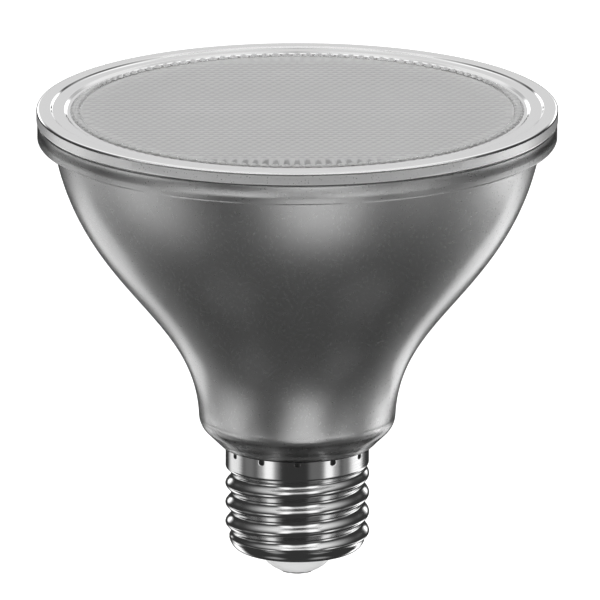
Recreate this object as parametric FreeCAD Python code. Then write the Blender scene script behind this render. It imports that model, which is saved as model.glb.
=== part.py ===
import FreeCAD, Part
import math
import os

# A reflector spotlight bulb with a screw cap, standing on the end of its cap with the lens up.
# Millimetres. The axis of the bulb is Z, and the origin is the end face of the centre contact.
# A pressed glass bowl with a flange carries a glass lens. A heat spreader sits on a ledge in the
# bowl's throat, with the LED board on it and the driver in an insulating housing under it.

# Cap
thread_pitch = 3.629
thread_crest_radius = 13.15
thread_depth = 1.05
thread_first_crest = 3.26      # height of a crest over the shell's base, on the +X side
thread_fade = 1.6              # height over which the thread runs out at each end
cap_sheet = 0.28
cap_length = 19.7
cap_floor_width = 2.8          # of the flat floor between the nose's rounding and the hole
nose_inset = 0.75              # of the nose's side inside the thread's crest
nose_round = 2.4
collar_inset = 0.05            # of the collar inside the thread's crest
collar_height = 3.2
dimple_count = 12
dimple_radius = 0.5
dimple_depth = 0.35
dimple_below_edge = 0.55

# Insulator and centre contact
contact_radius = 3.3
contact_head = 0.55
contact_bevel = 1.1            # width of the slope round the contact's flat end
contact_shank_radius = 1.2
contact_shank_proud = 0.9
insulator_dome_height = 3.85
insulator_end_margin = 0.15    # of the insulator's end round the contact
insulator_bulge = 0.55
insulator_lip = 1.4            # of its inner flange round the hole in the shell
insulator_flange_height = 1.5

# Glass bowl
glass_wall = 2.2
body_height = 57.25            # from the shoulder over the cap to the underside of the flange
shoulder_overhang = 0.8
shoulder_round = 0.3
shoulder_angle = 45.4          # of the lower cone, from the axis
neck_radius = 17.95
neck_lean = 2.7                # of the wall at the neck, from the axis
neck_fillet = 4.16
flare_lean = 9.4               # of the wall under the flange, from the axis
flare_pull = 0.524             # reach of the flare's upper curve, as a share of its rise
neck_pull = 0.387              # reach of its lower curve, as a share of its rise
flange_overhang = 2.85
flange_height = 3.55
flange_inset = 0.15            # of the flange inside the lens's edge
flange_lower_round = 0.6
flange_upper_round = 0.2
spigot_length = 2.9
spigot_wall = 2.2
crimp_groove_height = 1.6
crimp_groove_depth = 0.45
throat_ledge_height = 19.6     # of the spreader's ledge over the shoulder
throat_ledge_width = 0.85      # of the ledge cut into the inner wall
throat_pocket_depth = 3.0

# Front lens and its bond
lens_radius = 47.5
lens_rim_height = 2.35
lens_thickness = 3.0
lens_edge_round = 0.5
rim_land_width = 2.6
rim_step_drop = 0.3
rim_step_width = 0.3
clear_band_width = 2.2
ring_width = 0.5
ring_drop = 0.3
bond_thickness = 0.15
bond_inset = 0.5
bond_width = 3.2

# Heat spreader, pad and LED board
spreader_plate = 1.6
spreader_skirt_wall = 1.1
spreader_skirt_height = 3.6
pad_thickness = 0.25
board_inset = 1.5              # of the LED board inside the spreader's edge
board_thickness = 1.2
pad_inset = 0.2
package_length = 3.5
package_width = 2.8
package_height = 0.7
outer_package_count = 12
outer_package_inset = 3.3      # of the outer ring's middle inside the board's edge
inner_package_count = 6
inner_package_share = 0.636    # of the screws' circle
screw_count = 3
screw_first_angle = 90.0
screw_shank_radius = 1.2
screw_head_radius = 2.0
screw_head_height = 1.3
screw_recess_width = 0.5
screw_recess_depth = 0.7
screw_length_in_boss = 5.0

# Driver housing
housing_wall = 1.2
housing_floor = 1.2
boss_radius = 2.4
boss_inset = 2.2               # of the bosses' middles inside the housing's bore
boss_height = 6.2
lead_hole_radius = 0.9

# Driver board and what is on it
pcb_thickness = 1.6
pcb_shoulder_rise = 1.3        # of the board's wide head over the housing's inner cone
pcb_corner = 1.0
pcb_top_gap = 2.0              # under the spreader
core_width = 13.0
core_yoke = 1.8
core_leg_width = 3.6
winding_build = 2.0            # of the winding before and behind the core
winding_round = 1.5
capacitor_top_gap = 1.5        # under the driver board's top
film_top_gap = 2.0             # likewise
film_base_rise = 1.4           # of the film capacitor over the housing's inner cone
film_depth = 5.0
rectifier_width = 4.7
rectifier_height = 3.9
rectifier_depth = 1.4
chip_width = 3.9
chip_height = 4.9
chip_depth = 1.5
chip_spacing = 2.0             # between the driver chip and the rectifier
chip_leg = 0.4
chip_leg_pitch = 1.27
chip_leg_reach = 1.0
resistor_radius = 1.3
resistor_length = 6.5
resistor_share = 0.44          # of its place across the tube's bore
varistor_thickness = 2.6
varistor_share = 0.4
leg_radius = 0.3
leg_reach = 1.2                # of the resistor's legs past its ends
part_standoff = 0.8            # of leaded parts over the driver board
part_rise = 2.0                # of the lowest leaded parts over the mains leads' pads

# Leads
lead_radius = 0.4
lead_bend = 0.6
lead_offset = 1.4              # of a lead's run from the driver board's face
live_lead_x = 0.0
neutral_lead_inset = 3.7       # inside the tube's bore
led_lead_x = 2.0
led_lead_hop = 2.0
lead_pad_height = 3.3          # of the mains leads' pads over the housing's floor
led_pad_drop = 2.2             # of the LED leads' pads under the driver board's top

# Clearances
collar_clearance = 0.17        # between the glass spigot and the collar
shoulder_clearance = 0.1       # between the shoulder and the collar's end
plug_clearance = 0.4           # between the lens's plug and the bowl's mouth
pocket_clearance = 0.3
skirt_clearance = 1.0          # between the spreader's skirt and the glass
housing_clearance = 0.8        # between the housing's cone and the glass cone
neck_clearance = 1.35          # between the housing and the glass neck
tube_clearance = 0.55          # between the housing's tube and the bore of the spigot
floor_clearance = 0.32         # between the live lead's bend and the housing's floor
tongue_clearance = 0.46        # between the driver board's tongue and the tube
head_clearance = 1.37          # between its head and the housing
cone_clearance = 0.3           # between the driver's parts and the housing's inner cone
boss_clearance = 0.4           # between the choke and the bosses over it
winding_clearance = 1.44       # between the choke and the housing
capacitor_clearance = 0.88     # between the can and the housing
film_clearance = 0.59          # between the film capacitor and the housing
varistor_clearance = 0.38      # between the varistor and the tube
lead_clearance = 0.4           # between the LED leads and the can
film_lead_clearance = 0.8      # between the LED leads and the film capacitor
slide_clearance = 0.1
bore_clearance = 0.05

# Heights up the axis, from the contact's end face
shell_base = contact_head + insulator_dome_height
shell_top = shell_base + cap_length
shoulder_z = shell_top + shoulder_clearance
flange_base = shoulder_z + body_height
flange_top = flange_base + flange_height
rim_base = flange_top + bond_thickness
lens_top = rim_base + lens_rim_height
ledge_z = shoulder_z + throat_ledge_height
plate_top = ledge_z + spreader_plate
board_base = plate_top + pad_thickness
board_top = board_base + board_thickness
insulator_top = shell_base + cap_sheet + insulator_flange_height
shank_top = insulator_top + contact_shank_proud
lead_turn = shank_top + 2 * lead_bend
floor_base = lead_turn + lead_radius + floor_clearance
floor_top = floor_base + housing_floor
lead_pad = floor_top + lead_pad_height
pcb_top = ledge_z - pcb_top_gap

# Radii that follow from others
flange_radius = lens_radius - flange_inset
flare_radius = flange_radius - flange_overhang
collar_radius = thread_crest_radius - collar_inset
nose_side_radius = thread_crest_radius - nose_inset
nose_flat_radius = nose_side_radius - nose_round
cap_hole_radius = nose_flat_radius - cap_floor_width
contact_flat_radius = contact_radius - contact_bevel
insulator_end_radius = contact_radius + insulator_end_margin
insulator_flange_radius = cap_hole_radius + insulator_lip
shoulder_radius = collar_radius + shoulder_overhang
spigot_radius = collar_radius - cap_sheet - collar_clearance
spigot_bore = spigot_radius - spigot_wall
housing_tube_radius = spigot_bore - tube_clearance
tube_bore = housing_tube_radius - housing_wall
pcb_front = -pcb_thickness / 2
pcb_back = pcb_thickness / 2
resistor_x = tube_bore * resistor_share
varistor_x = -tube_bore * varistor_share
neutral_lead_x = neutral_lead_inset - tube_bore


def at(radius, height):
    """A point of a section that is spun round the axis."""
    return FreeCAD.Vector(radius, 0, height)


def lean(angle):
    """The unit step down a wall that leans in by an angle from the axis."""
    turn = math.radians(angle)
    return FreeCAD.Vector(-math.sin(turn), 0, -math.cos(turn))


def inward(angle):
    """The unit step from the outer face of such a wall to its inner face."""
    turn = math.radians(angle)
    return FreeCAD.Vector(-math.cos(turn), 0, math.sin(turn))


def round_off(before, corner, after, radius):
    """The arc that rounds a corner: where it starts, its middle and where it ends."""
    back = (before - corner).normalize()
    on = (after - corner).normalize()
    half = back.getAngle(on) / 2
    cut = radius / math.tan(half)
    middle = corner + (back + on).normalize() * (radius / math.sin(half) - radius)
    return corner + back * cut, middle, corner + on * cut


def runs(corners, closed):
    """Straight edges from corner to corner. A corner is a point and the radius of its rounding."""
    count = len(corners)
    stops = []
    for i, (corner, radius) in enumerate(corners):
        inner = closed or 0 < i < count - 1
        if inner and radius > 0:
            before = corners[i - 1][0]
            after = corners[(i + 1) % count][0]
            stops.append(round_off(before, corner, after, radius))
        else:
            stops.append((corner, None, corner))
    edges = []
    for i, (start, middle, end) in enumerate(stops):
        if middle is not None:
            edges.append(Part.Arc(start, middle, end).toShape())
        if closed or i < count - 1:
            following = stops[(i + 1) % count][0]
            if end.distanceToPoint(following) > 1e-6:
                edges.append(Part.LineSegment(end, following).toShape())
    return edges


def spin(edges):
    """The solid that a closed section makes when it is spun round the axis."""
    face = Part.Face(Part.Wire(edges))
    return face.revolve(FreeCAD.Vector(0, 0, 0), FreeCAD.Vector(0, 0, 1), 360)


def spun(*corners):
    """A turned solid from the corners (radius, height, rounding) of its section."""
    return spin(runs([(at(r, z), rounding) for r, z, rounding in corners], True))


def disc(radius, bottom, top):
    return Part.makeCylinder(radius, top - bottom, FreeCAD.Vector(0, 0, bottom))


def post(x, y, radius, bottom, top):
    """An upright cylinder away from the axis."""
    return Part.makeCylinder(radius, top - bottom, FreeCAD.Vector(x, y, bottom))


def block(x_low, x_high, y_low, y_high, z_low, z_high):
    """A box given by its low and high sides, in any order along Y."""
    y_low, y_high = sorted((y_low, y_high))
    corner = FreeCAD.Vector(x_low, y_low, z_low)
    return Part.makeBox(x_high - x_low, y_high - y_low, z_high - z_low, corner)


def edges_along(shape, direction):
    """The straight edges of a shape that run along a direction."""
    found = []
    for edge in shape.Edges:
        start, end = edge.Vertexes[0].Point, edge.Vertexes[-1].Point
        span = end - start
        if span.Length > 1e-6 and abs(span.normalize().dot(direction)) > 0.999:
            found.append(edge)
    return found


def wire_tube(points, radius, bend):
    """A round wire whose middle line is straight runs joined by tangent arcs."""
    path = Part.Wire(runs([(point, bend) for point in points], False))
    heading = (points[1] - points[0]).normalize()
    rim = Part.Wire(Part.Circle(points[0], heading, radius).toShape())
    return path.makePipeShell([rim], True, False)


def around(circle, count, first_angle):
    """Evenly spaced places on a circle, as (x, y, angle in degrees)."""
    places = []
    for i in range(count):
        angle = first_angle + 360.0 * i / count
        turn = math.radians(angle)
        places.append((circle * math.cos(turn), circle * math.sin(turn), angle))
    return places


# Glass bowl

def flare_curve(offset):
    """The poles of the wall's curve from the flange to the neck, offset inwards by a length."""
    top = at(flare_radius, flange_base)
    cone = math.radians(shoulder_angle)
    upright = math.radians(neck_lean)
    fillet_end_r = neck_radius - neck_fillet * (math.cos(upright) - math.cos(cone))
    fillet_end_z = shoulder_z + (fillet_end_r - shoulder_radius) / math.tan(cone)
    neck_z = fillet_end_z + neck_fillet * (math.sin(cone) - math.sin(upright))
    bottom = at(neck_radius, neck_z)
    rise = flange_base - neck_z
    upper = top + lean(flare_lean) * (rise * flare_pull)
    lower = bottom - lean(neck_lean) * (rise * neck_pull)
    if offset == 0:
        return [top, upper, lower, bottom], at(fillet_end_r, fillet_end_z)
    # Along an offset curve each end's reach changes as the radius of curvature there does
    upper_turn = 2 / 3 * abs((lower - top).dot(inward(flare_lean))) / (rise * flare_pull) ** 2
    lower_turn = 2 / 3 * abs((upper - bottom).dot(inward(neck_lean))) / (rise * neck_pull) ** 2
    inner_top = top + inward(flare_lean) * offset
    inner_bottom = bottom + inward(neck_lean) * offset
    inner_upper = inner_top + lean(flare_lean) * (rise * flare_pull * (1 - offset * upper_turn))
    inner_lower = inner_bottom - lean(neck_lean) * (rise * neck_pull * (1 + offset * lower_turn))
    return [inner_top, inner_upper, inner_lower, inner_bottom], None


def bezier(poles):
    curve = Part.BezierCurve()
    curve.setPoles(poles)
    return curve


def mouth_radius(height):
    """The radius of the bowl's mouth, which goes on straight above the flare's curve."""
    top = flare_curve(glass_wall)[0][0]
    return top.x + (height - top.z) * math.tan(math.radians(flare_lean))


def inner_cone():
    """The inner cone over the spigot: its upper and lower end, a wall inside the outer cone."""
    cone = math.radians(shoulder_angle)
    inner_neck = flare_curve(glass_wall)[0][3]
    shift = glass_wall / math.sin(cone)
    low_z = shoulder_z + shift + (spigot_bore - shoulder_radius) / math.tan(cone)
    high_z = shoulder_z + shift + (inner_neck.x - shoulder_radius) / math.tan(cone)
    return at(inner_neck.x, high_z), at(spigot_bore, low_z)


def inner_radius(height):
    """The radius of the bowl's inner wall at a height on its curve."""
    curve = bezier(flare_curve(glass_wall)[0])
    over, under = 0.0, 1.0
    for _ in range(40):
        share = (over + under) / 2
        if curve.value(share).z > height:
            over = share
        else:
            under = share
    return curve.value(over).x


def housing_cone(radius):
    """The height at which the housing's outer cone has a radius, clear of the bowl's inner cone."""
    _, low = inner_cone()
    cone = math.radians(shoulder_angle)
    return low.z + (radius - low.x) / math.tan(cone) + housing_clearance / math.sin(cone)


def reach_at(radius, offset):
    """How far a circle round the axis reaches sideways at an offset from the axis."""
    return math.sqrt(radius ** 2 - offset ** 2)


# Sizes that follow from the bowl's inner wall
throat_pocket_radius = inner_radius(ledge_z) + throat_ledge_width
spreader_radius = throat_pocket_radius - pocket_clearance
spreader_skirt_radius = inner_radius(ledge_z - spreader_skirt_height) - skirt_clearance
board_radius = spreader_radius - board_inset
outer_package_circle = board_radius - outer_package_inset
housing_body_radius = flare_curve(glass_wall)[0][3].x - neck_clearance
body_bore = housing_body_radius - housing_wall
cone_angle = math.radians(shoulder_angle)
cone_drop = housing_wall * (1 / math.sin(cone_angle) - 1 / math.tan(cone_angle))
cone_top = housing_cone(housing_body_radius) + cone_drop
screw_circle = body_bore - boss_inset
inner_package_circle = screw_circle * inner_package_share
screw_places = around(screw_circle, screw_count, screw_first_angle)

# Sizes of the driver's board and parts, which follow from the housing's
pcb_shoulder = cone_top + pcb_shoulder_rise
pcb_tongue = reach_at(tube_bore - tongue_clearance, pcb_front)
pcb_head = reach_at(body_bore - head_clearance, pcb_front)
core_base = cone_top + cone_clearance
core_top = ledge_z - boss_height - boss_clearance
winding_depth = reach_at(body_bore - winding_clearance, core_width / 2) - pcb_thickness / 2
core_depth = winding_depth - 2 * winding_build
winding_width = core_width - 2 * (core_yoke + slide_clearance)
film_near = led_lead_x + lead_radius + film_lead_clearance
film_far = reach_at(body_bore - film_clearance, pcb_back + film_depth)
varistor_out = varistor_thickness / 2 - varistor_x
varistor_room = reach_at(tube_bore - varistor_clearance, varistor_out)
varistor_radius = (varistor_room - pcb_thickness / 2 - part_standoff) / 2


def widest_can():
    """The radius of the can that just fits between the board, the LED lead and the housing. With
    the can's middle at (side + r, back + r) and the housing's reach R, the radius r obeys
    (side + r)^2 + (back + r)^2 = (R - r)^2."""
    side = led_lead_x + lead_radius + lead_clearance
    reach = body_bore - capacitor_clearance
    half = side + pcb_back + reach
    return math.sqrt(half ** 2 + reach ** 2 - side ** 2 - pcb_back ** 2) - half


capacitor_radius = widest_can()
capacitor_x = -(led_lead_x + lead_radius + lead_clearance + capacitor_radius)


def reflector_bowl():
    outer, fillet_end = flare_curve(0)
    inner = flare_curve(glass_wall)[0]
    neck = outer[3]
    upright = math.radians(neck_lean)
    half_way = math.radians((neck_lean + shoulder_angle) / 2)
    fillet_middle = at(
        neck.x - neck_fillet * (math.cos(upright) - math.cos(half_way)),
        neck.z - neck_fillet * (math.sin(half_way) - math.sin(upright)))
    shoulder_corner = at(shoulder_radius, shoulder_z)
    groove_radius = spigot_radius - crimp_groove_depth
    groove_base = shoulder_z - crimp_groove_height
    spigot_base = shoulder_z - spigot_length
    cone_high, cone_low = inner_cone()
    flange = runs([
        (at(mouth_radius(flange_top), flange_top), 0),
        (at(flange_radius, flange_top), flange_upper_round),
        (at(flange_radius, flange_base), flange_lower_round),
        (outer[0], 0)], False)
    foot = runs([
        (fillet_end, 0),
        (shoulder_corner, shoulder_round),
        (at(groove_radius, shoulder_z), 0),
        (at(groove_radius, groove_base), 0),
        (at(spigot_radius, groove_base), 0),
        (at(spigot_radius, spigot_base), 0.3),
        (at(spigot_bore, spigot_base), 0.3),
        (cone_low, 1.0),
        (cone_high, 1.0),
        (inner[3], 0)], False)
    edges = flange
    edges.append(bezier(outer).toShape())
    edges.append(Part.Arc(neck, fillet_middle, fillet_end).toShape())
    edges += foot
    edges.append(bezier(inner[::-1]).toShape())
    edges.append(Part.LineSegment(inner[0], at(mouth_radius(flange_top), flange_top)).toShape())
    bowl = spin(edges)
    return bowl.cut(disc(throat_pocket_radius, ledge_z, ledge_z + throat_pocket_depth))


# Front lens and its bond

def front_lens():
    land_in = lens_radius - rim_land_width
    band_out = land_in - rim_step_width
    band_in = band_out - clear_band_width
    face_out = band_in - ring_width
    band_z = lens_top - rim_step_drop
    face_z = band_z - ring_drop
    plug_base = lens_top - lens_thickness
    plug_radius = mouth_radius(plug_base) - plug_clearance
    return spun(
        (0, plug_base, 0), (plug_radius, plug_base, 0.3), (plug_radius, rim_base, 0),
        (lens_radius, rim_base, 0.2), (lens_radius, lens_top, lens_edge_round),
        (land_in, lens_top, 0.15), (band_out, band_z, 0.15), (band_in, band_z, 0.15),
        (face_out, face_z, 0), (0, face_z, 0))


def rim_adhesive():
    outside = flange_radius - bond_inset
    inside = outside - bond_width
    return disc(outside, flange_top, rim_base).cut(disc(inside, flange_top, rim_base))


# Cap

def smooth(share):
    """Eases from 0 to 1 with level ends."""
    share = min(max(share, 0), 1)
    return share * share * (3 - 2 * share)


def cap_rows():
    """The shell's section from the collar's edge to its hole. Each row is the radius, the height,
    the step through the sheet to the inner face, and the share of the thread's depth."""
    row_step = thread_pitch / 8
    nose_z = shell_base + nose_round
    thread_top = shell_top - collar_height
    mean_radius = thread_crest_radius - thread_depth / 2
    side = shell_top - nose_z
    side_rows = math.ceil(side / row_step)
    rows = []
    for i in range(side_rows):
        z = shell_top - side * i / side_rows
        started = smooth((thread_top - z) / thread_fade)
        not_ended = smooth((z - nose_z + thread_fade / 2) / thread_fade)
        radius = collar_radius + (mean_radius - collar_radius) * started
        radius = nose_side_radius + (radius - nose_side_radius) * not_ended
        rows.append((radius, z, at(-cap_sheet, 0), started * not_ended))
    arc_rows = math.ceil(nose_round * math.pi / 2 / row_step)
    for i in range(arc_rows):
        turn = math.pi / 2 * i / arc_rows
        out = at(math.cos(turn), -math.sin(turn))
        radius = nose_flat_radius + nose_round * out.x
        z = nose_z + nose_round * out.z
        not_ended = smooth((z - nose_z + thread_fade / 2) / thread_fade)
        rows.append((radius, z, out * -cap_sheet, not_ended))
    flat_rows = math.ceil(cap_floor_width / row_step)
    for i in range(flat_rows + 1):
        radius = nose_flat_radius - cap_floor_width * i / flat_rows
        rows.append((radius, shell_base, at(0, cap_sheet), 0))
    return rows


def cap_face(inner):
    """One face of the rolled sheet, as a smooth surface through rings of poles. The thread is a
    cosine in height that moves up by one pitch a turn."""
    columns = 32
    row_step = thread_pitch / 8
    ring_gain = 3 / (2 + math.cos(2 * math.pi / columns))
    wave_gain = 3 / (2 + math.cos(2 * math.pi * row_step / thread_pitch))
    depth = thread_depth / 2 * wave_gain
    first_crest = shell_base + thread_first_crest
    poles = []
    for radius, z, through, share in cap_rows():
        ring = []
        for j in range(columns):
            turn = 2 * math.pi * j / columns
            wave = math.cos(2 * math.pi * (z - first_crest) / thread_pitch - turn)
            reach = (radius + (through.x if inner else 0)) * ring_gain + depth * share * wave
            height = z + (through.z if inner else 0)
            ring.append(FreeCAD.Vector(reach * math.cos(turn), reach * math.sin(turn), height))
        poles.append(ring)
    row_knots = len(poles) - 2
    surface = Part.BSplineSurface()
    surface.buildFromPolesMultsKnots(
        poles,
        [4] + [1] * (row_knots - 2) + [4], [1] * (columns + 1),
        list(range(row_knots)), list(range(columns + 1)),
        False, True, 3, 3)
    return surface.toShape()


def end_edges(face):
    """The two closed edges of such a face, the upper one first."""
    rings = [edge for edge in face.Edges if edge.BoundBox.ZLength < 1e-3]
    return sorted(rings, key=lambda ring: -ring.BoundBox.ZMin)


def cap_shell():
    outer = cap_face(False)
    inner = cap_face(True)
    outer_top, outer_hole = end_edges(outer)
    inner_top, inner_hole = end_edges(inner)
    top = Part.makeRuledSurface(outer_top, inner_top)
    hole = Part.makeRuledSurface(outer_hole, inner_hole)
    skin = Part.Shell([outer, top, inner, hole])
    skin.sewShape()
    shell = Part.Solid(skin)
    if shell.Volume < 0:
        shell.reverse()
    ball_radius = (dimple_radius ** 2 + dimple_depth ** 2) / (2 * dimple_depth)
    circle = collar_radius - dimple_depth + ball_radius
    z = shell_top - dimple_below_edge
    reach = ball_radius + cap_sheet
    keep = disc(collar_radius - cap_sheet / 2, z - 2 * reach, shell_top - bore_clearance)
    places = [FreeCAD.Vector(x, y, z) for x, y, _ in around(circle, dimple_count, 0)]
    backs = [Part.makeSphere(reach, place).common(keep) for place in places]
    dents = [Part.makeSphere(ball_radius, place) for place in places]
    return shell.fuse(backs).cut(dents)


def cap_insulator():
    end = at(insulator_end_radius, contact_head)
    edge = at(cap_hole_radius - bore_clearance, shell_base)
    chord = edge - end
    middle = end + chord / 2 + FreeCAD.Vector(chord.z, 0, -chord.x).normalize() * insulator_bulge
    bore = contact_shank_radius + bore_clearance
    seat = shell_base + cap_sheet
    edges = [Part.Arc(end, middle, edge).toShape()]
    edges += runs([
        (edge, 0), (at(edge.x, seat), 0), (at(insulator_flange_radius, seat), 0),
        (at(insulator_flange_radius, insulator_top), 0.4), (at(bore, insulator_top), 0),
        (at(bore, contact_head), 0), (end, 0)], False)
    return spin(edges)


def centre_contact():
    return spun(
        (0, 0, 0), (contact_flat_radius, 0, 0.8), (contact_radius, contact_head * 0.6, 0.2),
        (contact_radius, contact_head, 0), (contact_shank_radius, contact_head, 0),
        (contact_shank_radius, shank_top, 0.3), (0, shank_top, 0))


# Heat spreader, pad, LED board, packages and screws

def led_lead_places():
    y = pcb_back + lead_offset
    return [(led_lead_x, y), (-led_lead_x, y)]


def pierced(sheet, bottom, top):
    """A flat piece with the holes for the screws and for the two LED leads."""
    screw_hole = screw_shank_radius + slide_clearance
    holes = [post(x, y, screw_hole, bottom, top) for x, y, _ in screw_places]
    holes += [post(x, y, lead_hole_radius, bottom, top) for x, y in led_lead_places()]
    return sheet.cut(holes)


def heat_spreader():
    skirt_base = ledge_z - spreader_skirt_height
    bore = spreader_skirt_radius - spreader_skirt_wall
    cup = spun(
        (0, ledge_z, 0), (bore, ledge_z, 0.6), (bore, skirt_base, 0),
        (spreader_skirt_radius, skirt_base, 0.3), (spreader_skirt_radius, ledge_z, 0),
        (spreader_radius, ledge_z, 0), (spreader_radius, plate_top, 0.3), (0, plate_top, 0))
    return pierced(cup, ledge_z, plate_top)


def thermal_pad():
    return pierced(disc(board_radius - pad_inset, plate_top, board_base), plate_top, board_base)


def led_board():
    return pierced(disc(board_radius, board_base, board_top), board_base, board_top)


def led_packages():
    """The packages stand in two rings, each with its long side along the ring."""
    places = around(outer_package_circle, outer_package_count, 180.0 / outer_package_count)
    places += around(inner_package_circle, inner_package_count, 0)
    packages = []
    for x, y, angle in places:
        package = block(
            -package_width / 2, package_width / 2, -package_length / 2, package_length / 2,
            0, package_height)
        package = package.makeFillet(0.2, edges_along(package, FreeCAD.Vector(0, 0, 1)))
        package.rotate(FreeCAD.Vector(0, 0, 0), FreeCAD.Vector(0, 0, 1), angle)
        package.translate(FreeCAD.Vector(x, y, board_top))
        packages.append(package)
    return Part.makeCompound(packages)


def board_screws():
    head_top = board_top + screw_head_height
    tip = ledge_z - screw_length_in_boss
    screw = spun(
        (0, tip, 0), (screw_shank_radius, tip, 0.5), (screw_shank_radius, board_top, 0),
        (screw_head_radius, board_top, 0), (screw_head_radius, head_top, 0.7), (0, head_top, 0))
    arm = screw_head_radius * 0.65
    slot = screw_recess_width / 2
    floor = head_top - screw_recess_depth
    screw = screw.cut([
        block(-arm, arm, -slot, slot, floor, head_top),
        block(-slot, slot, -arm, arm, floor, head_top)])
    screws = []
    for x, y, _ in screw_places:
        copy = screw.copy()
        copy.translate(FreeCAD.Vector(x, y, 0))
        screws.append(copy)
    return Part.makeCompound(screws)


# Driver housing

def driver_housing():
    high = housing_cone(housing_body_radius)
    low = housing_cone(housing_tube_radius)
    housing = spun(
        (0, floor_base, 0), (housing_tube_radius, floor_base, 0.5), (housing_tube_radius, low, 0),
        (housing_body_radius, high, 0), (housing_body_radius, ledge_z, 0), (body_bore, ledge_z, 0),
        (body_bore, cone_top, 0), (tube_bore, low + cone_drop, 0), (tube_bore, floor_top, 0),
        (0, floor_top, 0))
    boss_base = ledge_z - boss_height
    inside = disc(body_bore + housing_wall / 2, boss_base, ledge_z)
    bosses = [post(x, y, boss_radius, boss_base, ledge_z).common(inside) for x, y, _ in screw_places]
    bore = screw_shank_radius + bore_clearance
    tip = ledge_z - screw_length_in_boss - 2 * bore_clearance
    bores = [post(x, y, bore, tip, ledge_z) for x, y, _ in screw_places]
    y = pcb_front - lead_offset
    bores += [post(x, y, lead_hole_radius, floor_base, floor_top) for x in (live_lead_x, neutral_lead_x)]
    return housing.fuse(bosses).cut(bores)


# Driver board and its parts

def driver_board():
    corners = [
        (-pcb_tongue, floor_top, pcb_corner), (pcb_tongue, floor_top, pcb_corner),
        (pcb_tongue, pcb_shoulder, pcb_corner), (pcb_head, pcb_shoulder, pcb_corner),
        (pcb_head, pcb_top, pcb_corner), (-pcb_head, pcb_top, pcb_corner),
        (-pcb_head, pcb_shoulder, pcb_corner), (-pcb_tongue, pcb_shoulder, pcb_corner)]
    outline = runs([(FreeCAD.Vector(x, pcb_front, z), rounding) for x, z, rounding in corners], True)
    return Part.Face(Part.Wire(outline)).extrude(FreeCAD.Vector(0, pcb_thickness, 0))


def choke_core():
    """The core of the choke, which stands on the front of the driver board by its winding."""
    y = pcb_front - winding_depth / 2
    near, far = y + core_depth / 2, y - core_depth / 2
    core = block(-core_width / 2, core_width / 2, far, near, core_base, core_top)
    window_in = core_leg_width / 2
    window_out = core_width / 2 - core_yoke
    low, high = core_base + core_yoke, core_top - core_yoke
    return core.cut([
        block(window_in, window_out, far, near, low, high),
        block(-window_out, -window_in, far, near, low, high)])


def choke_winding():
    y = pcb_front - winding_depth / 2
    low = core_base + core_yoke + slide_clearance
    high = core_top - core_yoke - slide_clearance
    outer = block(
        -winding_width / 2, winding_width / 2, y - winding_depth / 2, y + winding_depth / 2,
        low, high)
    outer = outer.makeFillet(winding_round, edges_along(outer, FreeCAD.Vector(0, 0, 1)))
    leg = core_leg_width / 2 + slide_clearance
    depth = core_depth / 2 + slide_clearance
    return outer.cut(block(-leg, leg, y - depth, y + depth, low, high))


def bulk_capacitor():
    """A can that lies along the back of the board, with the groove rolled in near its foot."""
    top = pcb_top - capacitor_top_gap
    base = cone_top + cone_clearance
    groove = base + 1.6
    can = spun(
        (0, base, 0), (capacitor_radius, base, 0.3), (capacitor_radius, groove, 0),
        (capacitor_radius - 0.35, groove + 0.4, 0.2), (capacitor_radius, groove + 0.8, 0),
        (capacitor_radius, top, 0.3), (0, top, 0))
    can.translate(FreeCAD.Vector(capacitor_x, pcb_back + capacitor_radius, 0))
    return can


def film_capacitor():
    box = block(
        film_near, film_far, pcb_back, pcb_back + film_depth,
        cone_top + film_base_rise, pcb_top - film_top_gap)
    return box.makeFillet(0.5, edges_along(box, FreeCAD.Vector(0, 1, 0)))


def chip_with_legs(width, height, depth, leg_zs, leg_width, middle_z):
    """A moulded chip on the back of the board, with flat legs on its left and right."""
    lift = 0.15
    body = block(
        -width / 2, width / 2, pcb_back + lift, pcb_back + depth,
        middle_z - height / 2, middle_z + height / 2)
    reach = width / 2 + chip_leg_reach
    legs = []
    for z in leg_zs:
        low, high = middle_z + z - leg_width / 2, middle_z + z + leg_width / 2
        legs.append(block(-reach, reach, pcb_back, pcb_back + 0.2, low, high))
        knee = width / 2 + chip_leg_reach / 2
        legs.append(block(-knee, knee, pcb_back, pcb_back + depth / 2, low, high))
    return body.fuse(legs).removeSplitter()


def driver_chip():
    legs = [chip_leg_pitch * (i - 1.5) for i in range(4)]
    middle = lead_pad + chip_height / 2
    return chip_with_legs(chip_width, chip_height, chip_depth, legs, chip_leg, middle)


def bridge_rectifier():
    middle = lead_pad + chip_height + chip_spacing + rectifier_height / 2
    legs = [-rectifier_height / 3, rectifier_height / 3]
    return chip_with_legs(rectifier_width, rectifier_height, rectifier_depth, legs, 0.7, middle)


def fusible_resistor():
    """An axial resistor over the front of the board, on its two bent legs."""
    low = lead_pad + part_rise
    high = low + resistor_length
    y = pcb_front - part_standoff - resistor_radius
    body = post(resistor_x, y, resistor_radius, low, high)
    body = body.makeFillet(0.35, [edge for edge in body.Edges if edge.Closed])
    foot = FreeCAD.Vector(resistor_x, pcb_front, low - leg_reach)
    knee = FreeCAD.Vector(resistor_x, y, low - leg_reach)
    crown = FreeCAD.Vector(resistor_x, y, high + leg_reach)
    top = FreeCAD.Vector(resistor_x, pcb_front, high + leg_reach)
    return body.fuse(wire_tube([foot, knee, crown, top], leg_radius, lead_bend))


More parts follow.
